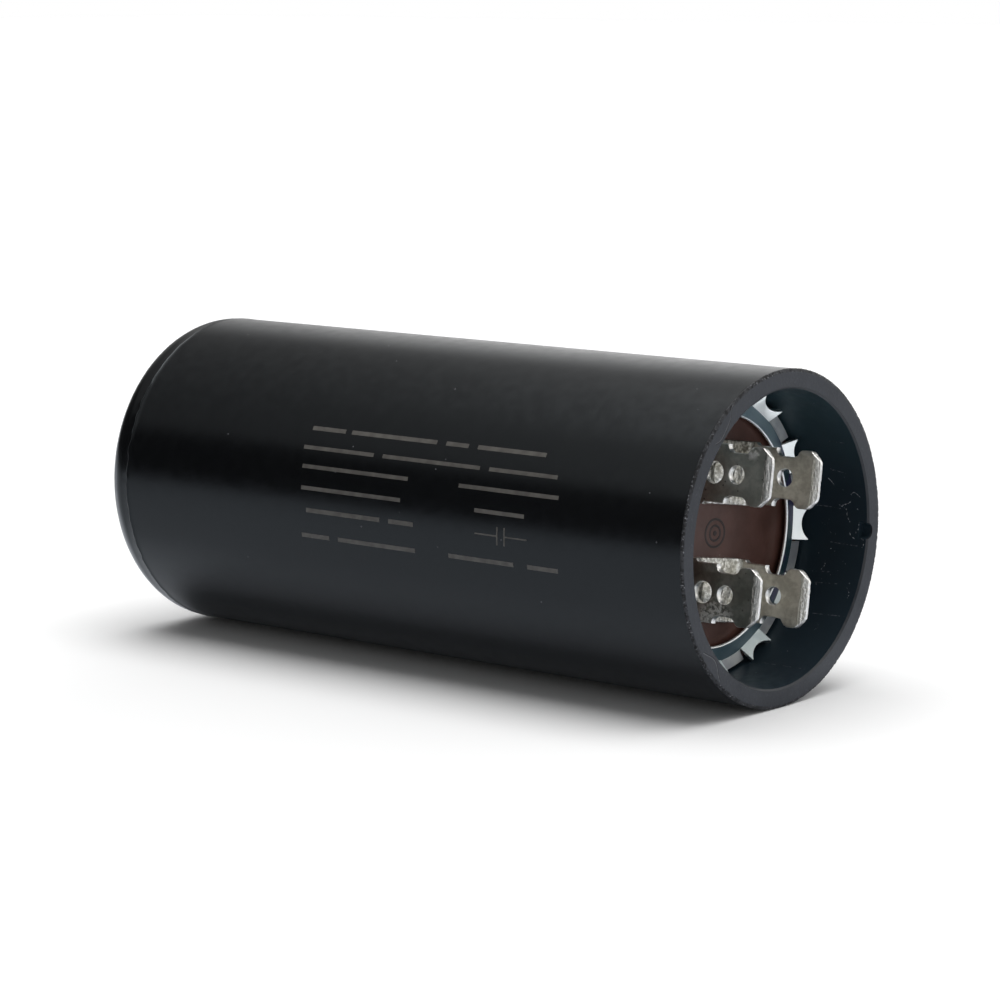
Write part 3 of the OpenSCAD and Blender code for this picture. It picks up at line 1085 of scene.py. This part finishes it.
def terminal_kind(face):
    """Finish of a face of the flat strip, from its place and the way it looks."""
    along = abs(face.calc_center_median().x)
    upwards = face.normal.z > 0
    if along < FLAT_HALF + BEND_LEN and face.normal.z > -FLAT_Z:
        return FOOT
    if abs(face.normal.z) < FLAT_Z:
        return SHEARED
    if along > flat_place(TAB_H) - EDGE_LEN:
        return INNER_END if upwards else OUTER_END
    return INNER if upwards else OUTER


def terminal(node, y, seed, finishes):
    """A folded terminal: plain faces, thinned ends, bright sheared edges and a rough foot."""
    made = plate(node, terminal_outlines(seed), TAB_T, TAB_EDGE)
    bends = [FLAT_HALF + BEND_LEN * i / BEND_STEPS for i in range(BEND_STEPS + 1)]
    bends.append(flat_place(TAB_H) - EDGE_LEN)
    cut_across(made, [side * place for side in (-1, 1) for place in bends])
    bmesh.ops.dissolve_degenerate(made, dist=SLIVER, edges=made.edges)
    fold(made, terminal_kind, terminal_bend)
    bmesh.ops.translate(made, verts=made.verts, vec=(0, y, HEADER_TOP / MM))
    crease_edges(made, SHARP_FOLD)
    finish_piece(made, node + "_sheet", "tinned_terminal", finishes, node)


def finish_piece(made, name, slot, finishes, node):
    """Turns a piece built in millimetres into an object that stands for its CAD node."""
    bmesh.ops.scale(made, verts=made.verts, vec=(MM, MM, MM))
    piece = new_piece(name, mesh_of(made, name), slot, *finishes)
    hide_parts(node)


def ring_band(made):
    """Plain dished band, with a cut inner edge and a painted highlight at its fold: a narrow face of the
    teeth's bright zinc.
    """
    slope = BAND_DISH / BAND_W
    start = FOLD_R - BAND_W + RING_BEVEL
    low = (FOLD_R - start) * slope
    profile = arc(start, low + RING_BEVEL, RING_BEVEL, 270, 180, 5)
    profile += arc(start, low + RING_T - RING_BEVEL, RING_BEVEL, 180, 90, 5)[:-1]
    kinds = [CUT] * len(profile)
    steps = 6
    for i in range(steps + 1):
        radius = start + (FOLD_R - FOLD_HIGHLIGHT - start) * i / steps
        profile.append((radius, (FOLD_R - radius) * slope + RING_T))
        kinds.append(BAND)
    # Painted highlight: the narrow face before the fold takes the bright zinc of the teeth
    kinds[-1] = TOOTH
    profile += [(FOLD_R, RING_T), (FOLD_R, 0.0)]
    kinds += [BAND, BAND]
    lathe(made, profile, kinds, RING_SEGMENTS)


def ring_lugs(made):
    """Plain lugs between the teeth, rising a little to the wall."""
    rows = 5
    columns = 24
    pitch = 2 * math.pi / TOOTH_COUNT
    for k in range(TOOTH_COUNT):
        start = math.radians(TOOTH_TURN) + k * pitch
        layers = []
        for lift in (0.0, RING_T):
            grid = []
            for row in range(rows):
                share = row / (rows - 1)
                radius = FOLD_R + (LUG_R - FOLD_R) * share
                side = math.asin((TOOTH_W / 2 + SLIT_W) / radius)
                line = []
                for column in range(columns + 1):
                    turn = start + side + (pitch - 2 * side) * column / columns
                    line.append(made.verts.new(round_point((radius, LUG_RISE * share + lift), turn)))
                grid.append(line)
            layers.append(grid)
        close_lug(made, *layers)


def close_lug(made, low, high):
    """Adds the faces of a lug between two grids of points."""
    rows = len(low)
    columns = len(low[0])
    faces = []
    edges = []
    for r in range(rows - 1):
        for c in range(columns - 1):
            faces.append((high[r][c], high[r + 1][c], high[r + 1][c + 1], high[r][c + 1]))
            faces.append((low[r][c], low[r][c + 1], low[r + 1][c + 1], low[r + 1][c]))
        edges.append((low[r][0], low[r + 1][0], high[r + 1][0], high[r][0]))
        edges.append((low[r][-1], high[r][-1], high[r + 1][-1], low[r + 1][-1]))
    for c in range(columns - 1):
        edges.append((low[0][c], high[0][c], high[0][c + 1], low[0][c + 1]))
        edges.append((low[-1][c], low[-1][c + 1], high[-1][c + 1], high[-1][c]))
    for corners in faces:
        made.faces.new(corners).material_index = LUG
    for corners in edges:
        made.faces.new(corners).material_index = CUT


def tooth_outline():
    half = TOOTH_W / 2
    hollow_half = half - POINT_W
    hollow_r = (hollow_half ** 2 + HOLLOW_DEPTH ** 2) / (2 * HOLLOW_DEPTH)
    sweep = math.degrees(math.asin(hollow_half / hollow_r))
    outline = [(-ROOT_LEN, half), (TOOTH_LEN, half)]
    outline += arc(TOOTH_LEN + hollow_r - HOLLOW_DEPTH, 0.0, hollow_r, 180 - sweep, 180 + sweep, 24)
    outline += [(TOOTH_LEN, -half), (-ROOT_LEN, -half)]
    return outline


def tooth_bend(spot):
    """Moves a point of a flat tooth, as (along, across, through), to the raised tooth."""
    low = -math.atan2(BAND_DISH, BAND_W)
    high = math.radians(TOOTH_SLOPE)
    first = Vector((math.cos(low), math.sin(low)))
    second = Vector((math.cos(high), math.sin(high)))
    share = min(max((spot.x + TOOTH_BEND) / (2 * TOOTH_BEND), 0.0), 1.0)
    if share == 0:
        place = first * spot.x
    elif share == 1:
        place = second * spot.x
    else:
        place = second * TOOTH_BEND * share ** 2 - first * TOOTH_BEND * (1 - share) ** 2
    way = (first * (1 - share) + second * share).normalized()
    sink = ROOT_SINK * (1 - share)
    through = sink + spot.z * (1 - ROOT_THIN * sink / RING_T)
    return Vector((FOLD_X + place.x - way.y * through, spot.y, place.y + way.x * through))


def tooth_kind(face):
    """Finish of a face of the flat tooth, from its place and the way it looks."""
    if face.calc_center_median().x <= 0:
        return BAND
    return TOOTH if abs(face.normal.z) > FLAT_Z else CUT


def ring_teeth(made):
    """Raised teeth with hollowed ends."""
    flat = plate("tooth", [tooth_outline()], RING_T, TOOTH_EDGE)
    cut_across(flat, [TOOTH_BEND * (2 * i / BEND_STEPS - 1) for i in range(BEND_STEPS + 1)])
    fold(flat, tooth_kind, tooth_bend)
    mesh = mesh_of(flat, "tooth")
    for k in range(TOOTH_COUNT):
        before = len(made.verts)
        made.from_mesh(mesh)
        made.verts.ensure_lookup_table()
        turn = Matrix.Rotation(math.radians(TOOTH_TURN + 360 / TOOTH_COUNT * k), 3, "Z")
        for vert in made.verts[before:]:
            vert.co = turn @ vert.co
    bpy.data.meshes.remove(mesh)


def retaining_ring():
    made = bmesh.new()
    ring_band(made)
    ring_lugs(made)
    ring_teeth(made)
    bmesh.ops.recalc_face_normals(made, faces=made.faces)
    bmesh.ops.translate(made, verts=made.verts, vec=(0, 0, HEADER_TOP / MM))
    crease_edges(made, SHARP_TURN)
    edge = clouded_metal("zinc_edge", (0.85, 0.88, 0.88), (0.97, 0.98, 0.96), 800.0, 0.36, 3000.0, 0.01)
    lug = clouded_metal("zinc_lug", (0.55, 0.57, 0.59), (0.72, 0.74, 0.73), 420.0, 0.48, 2500.0, 0.006, 0.35)
    finishes = [zinc_band(), edge, lug, zinc_tooth()]
    finish_piece(made, "retaining_ring_sheet", "zinc_spring_steel", finishes, "retaining_ring")


def rivets(finishes):
    """Copies of the rivets with their sharp edges rounded: bright ends, and sides darkened with painted
    shade.
    """
    made = bmesh.new()
    made.from_mesh(frame["nodes"]["terminal_rivets"].data)
    bmesh.ops.scale(made, verts=made.verts, vec=(1 / MM, 1 / MM, 1 / MM))
    merge(made, JOIN_NEAR)
    flat = math.radians(RIVET_FLAT)
    bmesh.ops.dissolve_limit(made, angle_limit=flat, verts=made.verts, edges=made.edges)
    least = math.radians(RIVET_SHARP)
    sharp = [edge for edge in made.edges if edge.calc_face_angle(0.0) > least]
    bmesh.ops.bevel(
        made, geom=sharp, offset=RIVET_ROUND, offset_type="OFFSET", segments=2, profile=0.5,
        affect="EDGES", clamp_overlap=True,
    )
    made.normal_update()
    for face in made.faces:
        face.material_index = RIVET_TOP if face.normal.z > RIVET_TOP_Z else RIVET_SHADED_SIDE
    crease_edges(made, SHARP_FOLD)
    finish_piece(made, "terminal_rivets_round", "rivet_metal", finishes, "terminal_rivets")


def header_mark():
    """A small raised sign in the middle of the header: two dark rings round a dot."""
    made = bmesh.new()
    for inner, outer in MARK_RINGS:
        rows = [(inner, 0.0), (inner + MARK_RISE, MARK_RISE), (outer - MARK_RISE, MARK_RISE), (outer, 0.0)]
        lathe(made, rows, [0, 0, 0], MARK_STEPS)
    place = Matrix.Translation((MARK_X * MM, MARK_Y * MM, HEADER_TOP))
    scale = Matrix.Diagonal((MARK_LONG * MM, MM, MM, 1.0))
    bmesh.ops.transform(made, matrix=place @ scale, verts=made.verts)
    merge(made, MERGE_NEAR)
    bmesh.ops.recalc_face_normals(made, faces=made.faces)
    mesh = mesh_of(made, "header_mark")
    shade(mesh, SHARP_FOLD)
    dark = plain_finish("header_mark", (0.016, 0.008, 0.006), (0.026, 0.014, 0.011), 1500.0, 0.45)
    new_piece("header_mark", mesh, "header_phenolic", dark)


def give(node, finish):
    data = frame["nodes"][node].data
    data.materials.clear()
    data.materials.append(finish)


def terminals():
    """Both terminals and their rivets."""
    outer_end = tin_strip("tin_strip_outer", (0.33, 0.32, 0.29), (0.84, 0.83, 0.79))
    inner_end = tin_strip("tin_strip_inner", (0.62, 0.6, 0.53), (1.0, 0.99, 0.94))
    edge = clouded_metal("tin_edge", (0.8, 0.79, 0.75), (0.97, 0.96, 0.93), 1500.0, 0.34, 4500.0, 0.03)
    rough = tin_rough()
    # Painted shade: a dark metal for the sides of the rivets
    painted_side_shade = clouded_metal("rivet_side_painted_shade", (0.2, 0.2, 0.19), (0.4, 0.4, 0.38), 2000.0, 0.45, 3000.0, 0.02)
    outer_a = tin_face("tin_outer_a", (0.49, 0.49, 0.43), (0.64, 0.63, 0.56), WORN_A)
    outer_b = tin_face("tin_outer_b", (0.33, 0.325, 0.28), (0.48, 0.47, 0.42), WORN_B)
    inner = tin_face("tin_inner", (0.6, 0.57, 0.5), (0.84, 0.81, 0.73), WORN_INNER)
    shared = [outer_end, edge, rough, inner, inner_end]
    terminal("terminal_a", -TERMINAL_Y, SHEAR_SEED_A, [outer_a, *shared])
    terminal("terminal_b", TERMINAL_Y, SHEAR_SEED_B, [outer_b, *shared])
    rivets([rough, painted_side_shade])


def build_part():
    case_shell()
    print_bars()
    wall_scuffs()
    rim_creases()
    give("header", header_board())
    header_mark()
    retaining_ring()
    terminals()
    give("header_gasket", plain_finish("seal", (0.012, 0.012, 0.012), (0.03, 0.03, 0.03), 900.0, 0.7))
    give("lead_straps", plain_finish("leads", (0.6, 0.6, 0.62), (0.8, 0.8, 0.82), 600.0, 0.35, 1.0))
    give("winding", plain_finish("roll", (0.5, 0.46, 0.38), (0.72, 0.68, 0.58), 500.0, 0.75))


def camera():
    data = bpy.data.cameras.new("camera")
    data.lens = CAMERA_LENS
    data.sensor_width = SENSOR
    made = add_object("camera", data)
    back = -CAMERA_LOOK.normalized()
    right = CAMERA_UP.cross(back).normalized()
    up = back.cross(right)
    turn = Matrix((right, up, back)).transposed()
    made.matrix_world = Matrix.Translation(CAMERA_AT) @ turn.to_4x4()
    bpy.context.scene.camera = made


def bare_tree(made):
    """Nodes of a material or world, with none of the usual ones."""
    made.use_nodes = True
    made.node_tree.nodes.clear()
    return made.node_tree


def floor_cast(place, along):
    """Colour of the floor in reflections: dim, with pools of light painted on it, and a painted fall-off of
    light away from the part.
    """
    ways = {"ahead": dot_of(place, -FLOOR_BACK), "along": along}
    painted_pools = sum_of(*[patch_of(ways, *patch) for patch in (BESIDE, NEAR, PAST)], FLOOR_LEVEL)
    painted_falloff = spread_of(dot_of(place, PAINTED_FALLOFF_WAY), PAINTED_FALLOFF_SPAN, PAINTED_FALLOFF_LEVELS)
    return mix_of(product_of(painted_pools, painted_falloff), (0, 0, 0), (0.92, 0.96, 1.03))


def floor_finish():
    """Pale floor that is white to the camera, whiter beyond the closed end where painted light lightens the
    shadow, and clear from behind.
    """
    made = bpy.data.materials.new("floor")
    tree = bare_tree(made)
    place = object_place(tree)
    along = dot_of(place, AXIS)
    # Painted light: the floor's colour to the camera turns whiter beyond the closed end
    painted_light_colour = mix_of(spread_of(along, PAINTED_LIGHT_SPAN), (0.92, 0.92, 0.92), (1, 1, 1))
    pale = mix_of(camera_sees(tree), floor_cast(place, along), painted_light_colour)
    front = add_node(tree, "BsdfDiffuse", {"Color": pale}).outputs[0]
    clear = add_node(tree, "BsdfTransparent").outputs[0]
    behind = add_node(tree, "NewGeometry").outputs["Backfacing"]
    both = add_node(tree, "MixShader", {0: behind, 1: front, 2: clear}).outputs[0]
    add_node(tree, "OutputMaterial", {"Surface": both})
    return made


def stage_floor():
    side = FLOOR_BACK * FLOOR_HALF
    along = AXIS * FLOOR_HALF
    middle = FLOOR_UP * -CASE_R
    corners = [middle - side - along, middle + side - along, middle + side + along, middle - side + along]
    mesh = mesh_from("floor", corners, [(0, 1, 2, 3)])
    if mesh.polygons[0].normal.dot(FLOOR_UP) < 0:
        mesh.flip_normals()
    made = add_object("floor", mesh)
    mesh.materials.append(floor_finish())


def studio_light(tree):
    """A dim tent, a wide soft light overhead, a card low on the right, and dark low on the left."""
    way = add_node(tree, "TexCoord").outputs["Generated"]
    ways = {"rise": dot_of(way, FLOOR_UP), "right": dot_of(way, AXIS), "back": dot_of(way, FLOOR_BACK)}
    ways["left"] = dot_of(way, AXIS * math.cos(DARK_TURN) + FLOOR_BACK * math.sin(DARK_TURN))
    ways["lean"] = math_of("DIVIDE", ways["back"], math_of("MAXIMUM", ways["rise"], LEAST_RISE))
    above = math_of("GREATER_THAN", ways["rise"], SOFTBOX_RISE)
    softbox = product_of(patch_of(ways, *SOFTBOX), above)
    tent = spread_of(ways["right"], TENT_SPAN, TENT_LEVELS)
    low_back = product_of(patch_of(ways, *LOW_BACK), spread_of(ways["right"], LEFT_SPAN, LEFT_LEVELS))
    level = sum_of(tent, low_back, patch_of(ways, *SIDE_BACK))
    for shadow in (DIM, DARK):
        level = product_of(level, rest_of(patch_of(ways, *shadow)))
    return sum_of(level, softbox, patch_of(ways, *CARD))


def world():
    """The studio light, and plain white to the camera."""
    made = bpy.data.worlds.new("studio")
    bpy.context.scene.world = made
    tree = bare_tree(made)
    strength = math_of("MAXIMUM", studio_light(tree), camera_sees(tree))
    shown = add_node(tree, "Background", {"Color": (1, 1, 1), "Strength": strength}).outputs[0]
    add_node(tree, "OutputWorld", {"Surface": shown})


bpy.context.scene.view_settings.view_transform = "Standard"
camera()
build_part()
stage_floor()
world()
